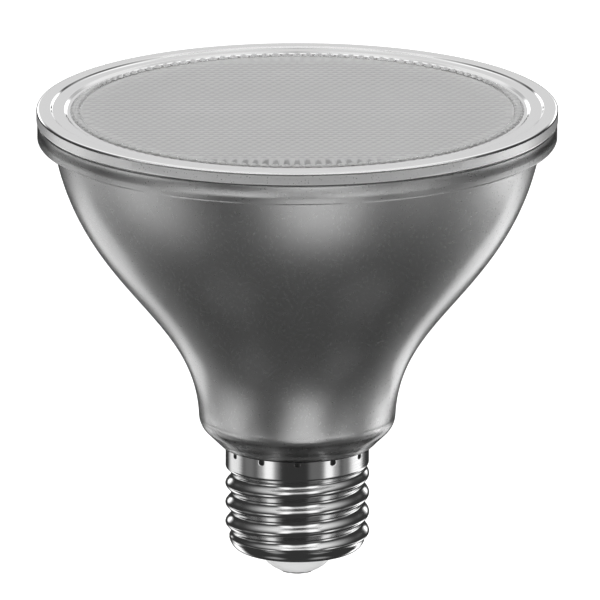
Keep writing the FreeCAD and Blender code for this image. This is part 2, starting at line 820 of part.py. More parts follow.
def varistor():
    """A disc on edge over the front of the board, on two straight legs."""
    middle_y = pcb_front - part_standoff - varistor_radius
    middle_z = lead_pad + part_rise + varistor_radius
    left = varistor_x - varistor_thickness / 2
    body = Part.makeCylinder(
        varistor_radius, varistor_thickness, FreeCAD.Vector(left, middle_y, middle_z),
        FreeCAD.Vector(1, 0, 0))
    body = body.makeFillet(0.6, [edge for edge in body.Edges if edge.Closed])
    leg_spread = varistor_radius * 0.55
    legs = [
        Part.makeCylinder(
            leg_radius, part_standoff + varistor_radius,
            FreeCAD.Vector(varistor_x, pcb_front, middle_z + z), FreeCAD.Vector(0, -1, 0))
        for z in (-leg_spread, leg_spread)]
    return body.fuse(legs)


# Leads

def live_lead():
    y = pcb_front - lead_offset
    return wire_tube([
        FreeCAD.Vector(live_lead_x, pcb_front, lead_pad), FreeCAD.Vector(live_lead_x, y, lead_pad),
        FreeCAD.Vector(live_lead_x, y, lead_turn), FreeCAD.Vector(0, 0, lead_turn),
        FreeCAD.Vector(0, 0, shank_top)], lead_radius, lead_bend)


def neutral_lead():
    """Runs down beside the insulator's flange to the inner face of the shell's base."""
    y = pcb_front - lead_offset
    x = -reach_at((insulator_flange_radius + nose_flat_radius) / 2, y)
    return wire_tube([
        FreeCAD.Vector(neutral_lead_x, pcb_front, lead_pad),
        FreeCAD.Vector(neutral_lead_x, y, lead_pad),
        FreeCAD.Vector(neutral_lead_x, y, lead_turn), FreeCAD.Vector(x, y, lead_turn),
        FreeCAD.Vector(x, y, shell_base + cap_sheet)], lead_radius, lead_bend)


def led_lead(x, y):
    """Runs from the back of the driver board up through the spreader to its pad on the LED board."""
    pad_z = pcb_top - led_pad_drop
    crown_z = board_top + 2 * lead_bend
    return wire_tube([
        FreeCAD.Vector(x, pcb_back, pad_z), FreeCAD.Vector(x, y, pad_z),
        FreeCAD.Vector(x, y, crown_z), FreeCAD.Vector(x, y + led_lead_hop, crown_z),
        FreeCAD.Vector(x, y + led_lead_hop, board_top)], lead_radius, lead_bend)


led_lead_spots = led_lead_places()
pieces = {
    "front_lens": front_lens(),
    "rim_adhesive": rim_adhesive(),
    "reflector_bowl": reflector_bowl(),
    "heat_spreader": heat_spreader(),
    "thermal_pad": thermal_pad(),
    "led_board": led_board(),
    "led_packages": led_packages(),
    "board_screws": board_screws(),
    "driver_housing": driver_housing(),
    "driver_board": driver_board(),
    "choke_core": choke_core(),
    "choke_winding": choke_winding(),
    "bulk_capacitor": bulk_capacitor(),
    "film_capacitor": film_capacitor(),
    "bridge_rectifier": bridge_rectifier(),
    "driver_chip": driver_chip(),
    "fusible_resistor": fusible_resistor(),
    "varistor": varistor(),
    "live_lead": live_lead(),
    "neutral_lead": neutral_lead(),
    "led_lead_positive": led_lead(*led_lead_spots[0]),
    "led_lead_negative": led_lead(*led_lead_spots[1]),
    "cap_shell": cap_shell(),
    "cap_insulator": cap_insulator(),
    "centre_contact": centre_contact(),
}

os.makedirs("parts", exist_ok=True)
for name, shape in pieces.items():
    shape.exportStep("parts/" + name + ".step")
    print(name, len(shape.Solids), shape.isValid(), round(shape.Volume, 1), "mm3")
print("overall height", round(lens_top, 3), "mm, lens radius", lens_radius, "mm")
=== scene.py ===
import math

import bpy
import numpy as np
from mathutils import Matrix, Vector
from mathutils.geometry import delaunay_2d_cdt


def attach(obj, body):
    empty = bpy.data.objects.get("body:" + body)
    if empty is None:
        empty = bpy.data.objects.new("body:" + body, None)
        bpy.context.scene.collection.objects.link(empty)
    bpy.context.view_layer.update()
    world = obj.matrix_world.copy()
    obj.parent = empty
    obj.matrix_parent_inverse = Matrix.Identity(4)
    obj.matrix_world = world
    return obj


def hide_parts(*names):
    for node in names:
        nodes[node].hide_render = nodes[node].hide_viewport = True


# A reflector spotlight bulb: a pressed glass bowl with a mirror film on its inner face, a glass lens
# with small lenticules over an LED board, and a rolled screw cap. Shapes are worked out in
# millimetres round the Z axis, and put into the meshes in metres.

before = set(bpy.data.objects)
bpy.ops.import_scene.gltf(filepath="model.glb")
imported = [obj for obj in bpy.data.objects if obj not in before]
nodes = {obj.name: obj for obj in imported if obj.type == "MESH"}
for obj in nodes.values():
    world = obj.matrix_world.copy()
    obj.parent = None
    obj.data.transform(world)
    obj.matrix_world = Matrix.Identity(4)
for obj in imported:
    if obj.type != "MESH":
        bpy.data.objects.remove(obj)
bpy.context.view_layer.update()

MM = 0.001


# Shapes

def bezier(poles, count):
    """Points (1-u)^3 a + 3(1-u)^2 u b + 3(1-u) u^2 c + u^3 d for u from 0 to 1."""
    u = np.linspace(0, 1, count)[:, None]
    a, b, c, d = (np.asarray(pole, float) for pole in poles)
    return (1 - u) ** 3 * a + 3 * (1 - u) ** 2 * u * b + 3 * (1 - u) * u ** 2 * c + u ** 3 * d


def arc(middle, radius, start, end, count):
    """Points middle + radius (cos a, sin a) for a from start to end, in degrees."""
    a = np.radians(np.linspace(start, end, count))
    return np.asarray(middle) + radius * np.stack([np.cos(a), np.sin(a)], 1)


def lean(angle):
    """The unit step (radius, height) down a wall that leans in by an angle from the axis."""
    a = math.radians(angle)
    return np.array([-math.sin(a), -math.cos(a)])


def rounded(corners, steps=6, guard=0.05):
    """A line through corners (radius, height, rounding). A rounding r at a corner whose arms meet
    at an angle 2h becomes an arc that touches both arms r / tan h away from the corner. Each arm
    gets one more point a guard away from its ends, which keeps its shading flat."""
    points = np.array([c[:2] for c in corners], float)
    line = []
    for i, (r, z, rounding) in enumerate(corners):
        corner = points[i]
        if 0 < i < len(corners) - 1:
            back = (points[i - 1] - corner) / np.linalg.norm(points[i - 1] - corner)
            on = (points[i + 1] - corner) / np.linalg.norm(points[i + 1] - corner)
            half = math.acos(np.clip(back @ on, -1, 1)) / 2
            size = max(rounding, 0.02)
            cut = size / math.tan(half)
            middle = corner + (back + on) / np.linalg.norm(back + on) * size / math.sin(half)
            a = math.atan2(*(corner + back * cut - middle)[::-1])
            b = math.atan2(*(corner + on * cut - middle)[::-1])
            sweep = (b - a + math.pi) % (2 * math.pi) - math.pi
            bend = middle + size * np.stack(
                [np.cos(a + sweep * np.linspace(0, 1, steps + 1)),
                 np.sin(a + sweep * np.linspace(0, 1, steps + 1))], 1)
            line.append((corner + back * (cut + guard))[None])
            line.append(bend)
            line.append((corner + on * (cut + guard))[None])
        else:
            line.append(corner[None])
    return np.concatenate(line)


def parallel(line, depth):
    """A line moved sideways by a depth to the right of its own direction."""
    along = np.gradient(line, axis=0)
    along /= np.maximum(np.linalg.norm(along, axis=1, keepdims=True), 1e-9)
    side = np.stack([along[:, 1], -along[:, 0]], 1)
    return line + side * np.asarray(depth).reshape(-1, 1)


def ring_grid(line, turns):
    """Carries each point (r, z) of a line to (r cos t, r sin t, z), t = 2 pi j / turns."""
    t = np.arange(turns) * 2 * np.pi / turns
    r, z = line[:, :1], line[:, 1:]
    return np.stack([r * np.cos(t), r * np.sin(t), z + 0 * t], 2)


def skin(name, grid, ends):
    """A mesh from a grid of rings, with quads between row i and row i + 1. Its ends are a "loop",
    where the last row joins the first, or a "bowl", whose first row is one pole that the next ring
    fans out from and whose last ring stays open. Faces are turned outwards by the sign of the volume
    that they enclose, the sum of a . (b x c) / 6 over their triangles."""
    rows, turns, _ = grid.shape
    index = np.arange(rows * turns).reshape(rows, turns)
    points = grid.reshape(-1, 3)
    if ends == "loop":
        low, high = index, np.roll(index, -1, 0)
        fans = np.zeros((0, 3), int)
    else:
        low, high = index[1:-1], index[2:]
        first = index[1]
        fans = np.stack([np.full(turns, index[0, 0]), np.roll(first, -1), first], 1)
    quads = np.stack([low, np.roll(low, -1, 1), np.roll(high, -1, 1), high], 2).reshape(-1, 4)
    corners = points[quads]
    volume = np.einsum("ij,ij->i", corners[:, 0], np.cross(corners[:, 1], corners[:, 2])).sum()
    volume += np.einsum("ij,ij->i", corners[:, 0], np.cross(corners[:, 2], corners[:, 3])).sum()
    tips = points[fans]
    volume += np.einsum("ij,ij->i", tips[:, 0], np.cross(tips[:, 1], tips[:, 2])).sum()
    if volume < 0:
        quads, fans = quads[:, ::-1], fans[:, ::-1]
    used = np.unique(np.concatenate([quads.ravel(), fans.ravel()]))
    renumber = np.zeros(len(points), int)
    renumber[used] = np.arange(len(used))
    mesh = bpy.data.meshes.new(name)
    faces = renumber[quads].tolist() + renumber[fans].tolist()
    mesh.from_pydata((points[used] * MM).tolist(), [], faces)
    mesh.shade_smooth()
    piece = bpy.data.objects.new(name, mesh)
    bpy.context.scene.collection.objects.link(piece)
    return piece


def face_middles(piece):
    """The middle of each face (x, y, z), in millimetres."""
    middles = np.zeros(len(piece.data.polygons) * 3)
    piece.data.polygons.foreach_get("center", middles)
    return middles.reshape(-1, 3).T / MM


def stand_for(piece, node, slot, *finishes):
    """The piece rides on the bulb, stands for a CAD node and takes its finishes."""
    for finish in finishes:
        piece.data.materials.append(finish)
    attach(piece, "root")
    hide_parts(node)
    return piece


# Finishes

class Wire:
    """An output of a node, which can be used in sums, products and powers."""

    def __init__(self, tree, socket):
        self.tree = tree
        self.socket = socket

    def maths(self, operation, *values):
        inputs = {i: value for i, value in enumerate(values)}
        return self.tree.node("ShaderNodeMath", {"operation": operation}, inputs)

    def __add__(self, other):
        return self.maths("ADD", self, other)

    def __radd__(self, other):
        return self.maths("ADD", other, self)

    def __sub__(self, other):
        return self.maths("SUBTRACT", self, other)

    def __rsub__(self, other):
        return self.maths("SUBTRACT", other, self)

    def __mul__(self, other):
        return self.maths("MULTIPLY", self, other)

    def __rmul__(self, other):
        return self.maths("MULTIPLY", other, self)

    def __truediv__(self, other):
        return self.maths("DIVIDE", self, other)

    def __pow__(self, other):
        return self.maths("POWER", self, other)


class Tree:
    """The nodes of one material or of the world."""

    def __init__(self, owner):
        owner.use_nodes = True
        self.nodes = owner.node_tree.nodes
        self.links = owner.node_tree.links
        self.nodes.clear()

    def node(self, kind, settings=None, inputs=None, output=0):
        """Adds a node: its settings first, then its sockets."""
        node = self.nodes.new(kind)
        for key, value in (settings or {}).items():
            setattr(node, key, value)
        for key, value in (inputs or {}).items():
            if isinstance(value, Wire):
                self.links.new(value.socket, node.inputs[key])
            else:
                node.inputs[key].default_value = value
        return Wire(self, node.outputs[output]) if len(node.outputs) else None

    def beside(self, wire, name):
        """Another output of the same node."""
        return Wire(self, wire.socket.node.outputs[name])

    def place(self, scale=(1, 1, 1)):
        """The point on the piece in metres, in Object coordinates."""
        spot = self.node("ShaderNodeTexCoord", output="Object")
        return self.node("ShaderNodeMapping", {}, {"Vector": spot, "Scale": scale})

    def noise(self, per_metre, detail=2.0, stretch=(1, 1, 1)):
        spot = self.place(tuple(per_metre * s for s in stretch))
        return self.node("ShaderNodeTexNoise", {}, {"Vector": spot, "Scale": 1.0, "Detail": detail})

    def mix(self, low, high, share):
        """A colour between two colours."""
        return self.node("ShaderNodeMix", {"data_type": "RGBA"}, {0: share, 6: low, 7: high}, 2)

    def bump(self, height, distance, strength=1.0):
        """A normal for a height between 0 and 1, times a distance in metres."""
        return self.node(
            "ShaderNodeBump", {}, {"Height": height, "Distance": distance, "Strength": strength})


def finish(name, recipe, **constants):
    """A material with one Principled shader. The recipe gives what changes over the surface."""
    material = bpy.data.materials.new(name)
    tree = Tree(material)
    sockets = {key.replace("_", " "): value for key, value in constants.items()}
    sockets.update(recipe(tree))
    shader = tree.node("ShaderNodeBsdfPrincipled", {}, sockets)
    tree.node("ShaderNodeOutputMaterial", {}, {"Surface": shader})
    return material


def grey(value):
    return (value, value, value, 1)


def clear_glass(tree):
    """Pressed glass: nearly colourless, with slow waves in its face."""
    return {
        "Base Color": tree.mix(grey(0.95), grey(0.99), tree.noise(60)),
        "Normal": tree.bump(tree.noise(90, 1.0), 0.00001)}


def frosted_glass(tree):
    """The lens's field: pressed with small domes and lightly frosted."""
    grain = tree.noise(1500, 3.0)
    return {
        "Base Color": tree.mix(grey(0.93), grey(0.99), tree.noise(60)),
        "Roughness": 0.07 + 0.07 * grain,
        "Normal": tree.bump(grain, 0.00001)}


def satin_film(tree):
    """The film seen through the glass, and the ground wall of the lens's rim: satin grey with a
    fine grain."""
    grain = tree.noise(2600, 4.0)
    cloud = tree.noise(70, 2.0)
    return {
        "Base Color": tree.mix(grey(0.60), grey(0.65), 0.5 * grain + 0.5 * cloud),
        "Roughness": 0.26 + 0.04 * grain}


def mirror_film(tree):
    """The film's own face inside the bowl: a bright mirror with a faint haze."""
    return {
        "Base Color": tree.mix(grey(0.84), grey(0.9), tree.noise(120)),
        "Roughness": 0.10 + 0.08 * tree.noise(900, 3.0)}


def bright_nickel(tree):
    """Rolled and plated sheet: near mirror, with fine drawn lines round the cap."""
    lines = tree.noise(300, 3.0, (1, 1, 12))
    return {
        "Base Color": tree.mix(grey(0.74), grey(0.82), tree.noise(200, 3.0)),
        "Roughness": 0.08 + 0.06 * lines,
        "Normal": tree.bump(lines, 0.00001)}


def moulded(low, high, rough, spread, per_metre=700, depth=0.00001):
    """A recipe for plastic, lacquer or rubber: its tone and gloss drift a little over its grain."""
    def recipe(tree):
        grain = tree.noise(per_metre, 3.0)
        drift = tree.noise(per_metre / 8)
        return {
            "Base Color": tree.mix((*low, 1), (*high, 1), 0.5 * grain + 0.5 * drift),
            "Roughness": rough + spread * grain,
            "Normal": tree.bump(grain, depth)}
    return recipe


glass = finish("clear_glass", clear_glass, Roughness=0.0, Transmission_Weight=1.0, IOR=1.5)
frosted = finish("frosted_glass", frosted_glass, Transmission_Weight=0.5, IOR=1.5)
film_out = finish("satin_film", satin_film, Metallic=1.0)
film_in = finish("mirror_film", mirror_film, Metallic=1.0)
ground_edge = finish("ground_edge", satin_film, Transmission_Weight=0.45, IOR=1.5)
nickel = finish("bright_nickel", bright_nickel, Metallic=1.0)
# A near-black finish for the middles of the collar's dimples: painted shade in the dimples, not a
# colour of the plating
painted_pit_shade = finish("painted_pit_shade", moulded((0.015,) * 3, (0.03,) * 3, 0.6, 0.2))
worn_nickel = finish("contact_nickel", bright_nickel, Metallic=1.0)
white_plug = finish("white_plug", moulded((0.78,) * 3, (0.84,) * 3, 0.25, 0.15), Coat_Weight=0.2)
bond = finish("rim_bond", moulded((0.16,) * 3, (0.24,) * 3, 0.5, 0.2))
aluminium = finish("pressed_aluminium", moulded((0.68,) * 3, (0.76,) * 3, 0.28, 0.15), Metallic=1.0)
pad = finish("pad_silicone", moulded((0.55, 0.57, 0.6), (0.62, 0.64, 0.68), 0.6, 0.2))
mask = finish("white_mask", moulded((0.84, 0.84, 0.83), (0.9, 0.9, 0.89), 0.3, 0.2), Coat_Weight=0.3)
phosphor = finish("phosphor", moulded((0.84, 0.74, 0.36), (0.92, 0.85, 0.5), 0.3, 0.2))
steel = finish("screw_steel", moulded((0.56,) * 3, (0.66,) * 3, 0.22, 0.2), Metallic=1.0)
housing = finish("housing_plastic", moulded((0.82, 0.82, 0.8), (0.88, 0.88, 0.86), 0.45, 0.2))
laminate = finish("board_laminate", moulded((0.08, 0.28, 0.14), (0.12, 0.36, 0.2), 0.35, 0.2))
ferrite = finish("ferrite", moulded((0.1, 0.1, 0.11), (0.15, 0.15, 0.16), 0.45, 0.25))
tape = finish("winding_tape", moulded((0.78, 0.62, 0.14), (0.86, 0.7, 0.2), 0.3, 0.15))
sleeve = finish("can_sleeve", moulded((0.06, 0.07, 0.1), (0.1, 0.11, 0.14), 0.25, 0.2))
red_case = finish("film_case", moulded((0.66, 0.18, 0.1), (0.74, 0.23, 0.14), 0.35, 0.15))
epoxy = finish("chip_epoxy", moulded((0.06,) * 3, (0.09,) * 3, 0.5, 0.2))
resistor_coat = finish("resistor_coat", moulded((0.42, 0.58, 0.46), (0.49, 0.66, 0.54), 0.5, 0.2))
varistor_coat = finish("varistor_coat", moulded((0.1, 0.25, 0.5), (0.14, 0.31, 0.6), 0.4, 0.2))
brown = finish("brown_sleeve", moulded((0.27, 0.14, 0.07), (0.33, 0.18, 0.1), 0.35, 0.2))
blue = finish("blue_sleeve", moulded((0.09, 0.23, 0.56), (0.12, 0.28, 0.64), 0.35, 0.2))
red = finish("red_sleeve", moulded((0.6, 0.07, 0.05), (0.7, 0.1, 0.08), 0.35, 0.2))
black = finish("black_sleeve", moulded((0.04,) * 3, (0.07,) * 3, 0.35, 0.2))

node_finishes = {
    "rim_adhesive": bond, "heat_spreader": aluminium, "thermal_pad": pad, "led_board": mask,
    "led_packages": phosphor, "board_screws": steel, "driver_housing": housing,
    "driver_board": laminate, "choke_core": ferrite, "choke_winding": tape,
    "bulk_capacitor": sleeve, "film_capacitor": red_case, "bridge_rectifier": epoxy,
    "driver_chip": epoxy, "fusible_resistor": resistor_coat, "varistor": varistor_coat,
    "live_lead": brown, "neutral_lead": blue, "led_lead_positive": red, "led_lead_negative": black,
    "cap_insulator": white_plug, "centre_contact": worn_nickel}
for node_name, node_finish in node_finishes.items():
    node_mesh = nodes[node_name].data
    node_mesh.materials.clear()
    node_mesh.materials.append(node_finish)


# Glass bowl and its mirror film

WALL = 2.2
SHOULDER = (13.9, 24.2)
CONE = 45.4
NECK_R, NECK_LEAN, FILLET = 17.95, 2.7, 4.16
FLARE_R, FLARE_LEAN, FLANGE_BASE, FLANGE_TOP, FLANGE_R = 44.5, 9.4, 81.45, 84.99, 47.35
SPIGOT_R, SPIGOT_BORE, SPIGOT_BASE, GROOVE_R, GROOVE_BASE = 12.65, 10.45, 21.3, 12.2, 22.6
FLARE_PULL, NECK_PULL = 0.524, 0.387
FILM_BACK, FILM_FRONT = 0.95, 0.05
BOWL_TURNS, FILM_TURNS = 288, 240

cone, upright = math.radians(CONE), math.radians(NECK_LEAN)
fillet_end = np.array([NECK_R - FILLET * (math.cos(upright) - math.cos(cone)), 0.0])
fillet_end[1] = SHOULDER[1] + (fillet_end[0] - SHOULDER[0]) / math.tan(cone)
neck = np.array([NECK_R, fillet_end[1] + FILLET * (math.sin(cone) - math.sin(upright))])
rim_point = np.array([FLARE_R, FLANGE_BASE])
rise = FLANGE_BASE - neck[1]
flare = bezier(
    [rim_point, rim_point + lean(FLARE_LEAN) * rise * FLARE_PULL,
     neck - lean(NECK_LEAN) * rise * NECK_PULL, neck], 90)
fillet_middle = neck + np.array([-FILLET * math.cos(upright), FILLET * math.sin(upright)])
fillet = arc(fillet_middle, FILLET, -NECK_LEAN, -CONE, 14)

inner_flare = parallel(flare, WALL)
mouth_lean = np.array([math.tan(math.radians(FLARE_LEAN)), 1])
mouth = inner_flare[0] + (FLANGE_TOP - inner_flare[0, 1]) * mouth_lean
shift = WALL / math.sin(cone)
cone_top, cone_foot = (
    (r, SHOULDER[1] + shift + (r - SHOULDER[0]) / math.tan(cone))
    for r in (inner_flare[-1, 0], SPIGOT_BORE))
inner_foot = rounded([
    (*inner_flare[-1], 0), (*cone_top, 1.0), (*cone_foot, 1.0),
    (SPIGOT_BORE, SPIGOT_BASE, 0.3), (SPIGOT_R, SPIGOT_BASE, 0.3), (SPIGOT_R, GROOVE_BASE, 0),
    (GROOVE_R, GROOVE_BASE, 0), (GROOVE_R, SHOULDER[1], 0), (*SHOULDER, 0.3), (*fillet_end, 0)])
flange = rounded([
    (*inner_flare[0], 0), (*mouth, 0.1), (FLANGE_R, FLANGE_TOP, 0.2), (FLANGE_R, FLANGE_BASE, 0.6),
    (*rim_point, 0.1), (*flare[2], 0)])
bowl_line = np.concatenate([
    flange[:-1], flare[2:], fillet[1:-1], inner_foot[::-1][:-1], inner_flare[::-1][:-1]])
stand_for(
    skin("bowl_glass", ring_grid(bowl_line, BOWL_TURNS), "loop"), "reflector_bowl", "silvered_glass",
    glass)

film_wall = np.concatenate([
    np.linspace(mouth - np.array([0.0, 0.1]), inner_flare[0], 5)[:-1], inner_flare,
    rounded([
        (*inner_flare[-1], 0), (*cone_top, 1.0), (*cone_foot, 1.0),
        (SPIGOT_BORE, SPIGOT_BASE + 0.5, 0)])[1:]])
# The film's back lies in the wall, deep enough to cover the seat of the heat spreader
film_line = np.concatenate([parallel(film_wall, -FILM_BACK), parallel(film_wall, FILM_FRONT)[::-1]])
mirror_piece = stand_for(
    skin("mirror_film", ring_grid(film_line, FILM_TURNS), "loop"), "reflector_bowl", "silvered_glass",
    film_out, film_in)
face_rows = np.repeat(np.arange(len(film_line)), FILM_TURNS)
mirror_piece.data.polygons.foreach_set(
    "material_index", (face_rows >= len(film_wall)).astype(np.int32))


# Front lens

LENS_R, RIM_BASE, LENS_TOP = 47.5, 85.16, 87.5
LAND_IN, BAND_OUT, BAND_IN, FACE_OUT = 44.9, 44.6, 42.4, 41.9
BAND_Z, FACE_Z, PLUG_BASE, PLUG_R = 87.2, 86.9, 84.5, 42.35
FIELD_R, PITCH, DOME = 41.3, 1.73, 0.15
BEADS, BEAD_RING, BEAD_R, BEAD_TALL, BEAD_FOOT = 128, 40.35, 0.88, 0.5, 0.3
LENS_TURNS, BELT_ROWS, BELT_STEPS, LATTICE_STEP = 480, 9, 8, PITCH / 4.5
CLEAR, GROUND, FROSTED = 0, 1, 2


def lenticules(x, y):
    """Small domes in a hexagonal field. With d the distance to the nearest dome's middle and
    D = pitch / sqrt 3 the reach of a cell's corner, the height is DOME (1 - (d / D)^2). A dome is
    there only if its middle lies well inside the field."""
    nearest = np.full(x.shape, 1e9)
    middle_r = np.zeros(x.shape)
    for shift_x, shift_y in ((0, 0), (PITCH / 2, PITCH * math.sqrt(3) / 2)):
        cx = np.round((x - shift_x) / PITCH) * PITCH + shift_x
        cy = np.round((y - shift_y) / (PITCH * math.sqrt(3))) * PITCH * math.sqrt(3) + shift_y
        d = np.hypot(x - cx, y - cy)
        closer = d < nearest
        nearest = np.where(closer, d, nearest)
        middle_r = np.where(closer, np.hypot(cx, cy), middle_r)
    dome = DOME * (1 - (nearest / (PITCH / math.sqrt(3))) ** 2)
    return np.where(middle_r < BEAD_RING - BEAD_R - PITCH / 3, dome, 0)


def beads(x, y):
    """A ring of small round beads at the field's edge: height BEAD_TALL (1 - (d / R)^2) at the
    distance d from the nearest bead's middle."""
    step = 2 * np.pi / BEADS
    turn = np.round(np.arctan2(y, x) / step) * step
    d = np.hypot(x - BEAD_RING * np.cos(turn), y - BEAD_RING * np.sin(turn))
    return BEAD_TALL * np.clip(1 - (d / BEAD_R) ** 2, 0, 1)


def lattice(reach, step):
    """The points of a triangular lattice inside a circle: (i + (j mod 2) / 2, j sqrt 3 / 2) step."""
    n = int(reach / step) + 2
    i, j = np.meshgrid(np.arange(-n, n + 1), np.arange(-n, n + 1))
    x = (i + 0.5 * (j % 2)) * step
    y = j * step * math.sqrt(3) / 2
    keep = np.hypot(x, y) < reach - 0.6 * step
    return np.stack([x[keep], y[keep]], 1)


def lens_face(piece, edge_row):
    """Closes the open ring at the edge of the field with a triangulated lattice, and a belt of
    finer rings under the beads, raised by the heights of the lenticules and the beads."""
    mesh = piece.data
    points = np.zeros(len(mesh.vertices) * 3)
    mesh.vertices.foreach_get("co", points)
    points = points.reshape(-1, 3) / MM
    faces = [list(face.vertices) for face in mesh.polygons]
    ring = points[edge_row]
    belt_r = np.linspace(BEAD_RING - BEAD_R, BEAD_RING + BEAD_R, BELT_ROWS)
    belt = ring_grid(np.column_stack([belt_r, 0 * belt_r]), BEADS * BELT_STEPS)
    inside = np.concatenate([lattice(BEAD_RING - BEAD_R, LATTICE_STEP), belt[..., :2].reshape(-1, 2)])
    flat = np.concatenate([ring[:, :2], inside])
    count = len(ring)
    loop = [(i, (i + 1) % count) for i in range(count)]
    _, _, cells, origins, _, _ = delaunay_2d_cdt(
        [Vector(point) for point in flat], loop, [], 1, 1e-6)
    source = np.array([origin[0] for origin in origins])
    spot = np.where(
        source < count, edge_row[np.minimum(source, count - 1)], len(points) + source - count)
    cells = spot[np.array(cells)]
    height = FACE_Z + lenticules(inside[:, 0], inside[:, 1]) + beads(inside[:, 0], inside[:, 1])
    points = np.concatenate([points, np.column_stack([inside, height])])
    a, b, c = (points[cells[0][k]] for k in range(3))
    if np.cross(b - a, c - a)[2] < 0:
        cells = cells[:, ::-1]
    mesh.clear_geometry()
    mesh.from_pydata((points * MM).tolist(), [], faces + cells.tolist())
    mesh.shade_smooth()


lens_line = rounded([
    (0, PLUG_BASE, 0), (PLUG_R, PLUG_BASE, 0.3), (PLUG_R, RIM_BASE, 0), (LENS_R, RIM_BASE, 0.2),
    (LENS_R, LENS_TOP, 0.5), (LAND_IN, LENS_TOP, 0.15), (BAND_OUT, BAND_Z, 0.15),
    (BAND_IN, BAND_Z, 0.15), (FACE_OUT, FACE_Z, 0.1), (FIELD_R, FACE_Z, 0)], 5)
lens_piece = skin("lens_glass", ring_grid(lens_line, LENS_TURNS), "bowl")
lens_face(lens_piece, len(lens_piece.data.vertices) - LENS_TURNS + np.arange(LENS_TURNS))
stand_for(lens_piece, "front_lens", "lens_glass", glass, ground_edge, frosted)
# The wall of the rim is ground, the field and the tops of the beads are frosted, the rest is clear
on_wall = lens_line[:, 0] > LENS_R - 0.01
wall_rows = np.repeat(on_wall[1:-1] & on_wall[2:], LENS_TURNS)
x, y, _ = face_middles(lens_piece)
clear_face = (np.hypot(x, y) > BEAD_RING - BEAD_R) & (beads(x, y) < BEAD_FOOT * BEAD_TALL)
lens_index = np.where(clear_face, CLEAR, FROSTED).astype(np.int32)
lens_index[:len(wall_rows)] = np.where(wall_rows, GROUND, CLEAR)
lens_piece.data.polygons.foreach_set("material_index", lens_index)


# Screw cap

SHELL_BASE, SHELL_TOP, SHEET = 4.4, 24.1, 0.28
CREST_R, DEPTH, THREAD_PITCH, FIRST_CREST, FADE = 13.15, 1.05, 3.629, 3.26, 1.6
NOSE_R, NOSE_ROUND, HOLE_R, COLLAR_R, COLLAR_H = 12.4, 2.4, 7.2, 13.1, 3.2
# The last number is the share of a dimple's radius that takes the painted shade
DIMPLES, DIMPLE_R, DIMPLE_DEPTH, DIMPLE_Z, PAINTED_SHADE_REACH = 12, 0.5, 0.35, 23.55, 1.1
CAP_TURNS = 480


def smooth(share):
    """Eases from 0 to 1 with level ends: s^2 (3 - 2 s)."""
    share = np.clip(share, 0, 1)
    return share * share * (3 - 2 * share)


def from_dimple(turn, z):
    """The distance from the middle of the nearest dimple, at a turn and a height of the collar."""
    step = 2 * np.pi / DIMPLES
    sideways = ((turn + step / 2) % step - step / 2) * COLLAR_R
    return np.hypot(sideways, z - DIMPLE_Z)


def cap_sheet(through, side_rows, arc_rows, flat_rows):
    """One face of the rolled sheet from the collar's edge to the hole. The radius eases from the
    collar to the thread's middle and on to the nose, and the thread adds
    depth / 2 cos(2 pi (z - first crest) / pitch - t), which climbs one pitch a turn."""
    nose_z = SHELL_BASE + NOSE_ROUND
    z = np.linspace(SHELL_TOP, nose_z, side_rows, endpoint=False)
    started = smooth((SHELL_TOP - COLLAR_H - z) / FADE)
    not_ended = smooth((z - nose_z + FADE / 2) / FADE)
    radius = COLLAR_R + (CREST_R - DEPTH / 2 - COLLAR_R) * started
    radius = NOSE_R + (radius - NOSE_R) * not_ended
    side = np.stack([radius - through, z, started * not_ended], 1)
    turn = np.linspace(0, math.pi / 2, arc_rows, endpoint=False)
    size = NOSE_ROUND - through
    bend_z = nose_z - size * np.sin(turn)
    bend = np.stack(
        [NOSE_R - NOSE_ROUND + size * np.cos(turn), bend_z,
         smooth((FADE / 2 - NOSE_ROUND * np.sin(turn)) / FADE)], 1)
    flat = np.stack(
        [np.linspace(NOSE_R - NOSE_ROUND, HOLE_R, flat_rows),
         np.full(flat_rows, SHELL_BASE + through), np.zeros(flat_rows)], 1)
    rows = np.concatenate([side, bend, flat])
    t = np.arange(CAP_TURNS)[None] * 2 * np.pi / CAP_TURNS
    wave = np.cos(2 * np.pi * (rows[:, 1:2] - SHELL_BASE - FIRST_CREST) / THREAD_PITCH - t)
    reach = rows[:, :1] + DEPTH / 2 * rows[:, 2:] * wave
    away = from_dimple(t, rows[:, 1:2])
    reach -= DIMPLE_DEPTH * np.clip(1 - (away / DIMPLE_R) ** 2, 0, 1)
    return np.stack([reach * np.cos(t), reach * np.sin(t), rows[:, 1:2] + 0 * t], 2)


cap_out = cap_sheet(0.0, side_rows=118, arc_rows=12, flat_rows=8)
cap_in = cap_sheet(SHEET, side_rows=30, arc_rows=6, flat_rows=4)
cap_piece = stand_for(
    skin("cap_thread", np.concatenate([cap_out, cap_in[::-1]]), "loop"), "cap_shell", "cap_nickel",
    nickel, painted_pit_shade)
# Faces on the outer face near each dimple's middle take the second finish, a near-black painted shade
# in the dimples
x, y, z = face_middles(cap_piece)
outer_face = np.arange(len(z)) < (len(cap_out) - 1) * CAP_TURNS
in_painted_pit_shade = (from_dimple(np.arctan2(y, x), z) < PAINTED_SHADE_REACH * DIMPLE_R) & outer_face
cap_piece.data.polygons.foreach_set("material_index", in_painted_pit_shade.astype(np.int32))


# Floor, studio and camera

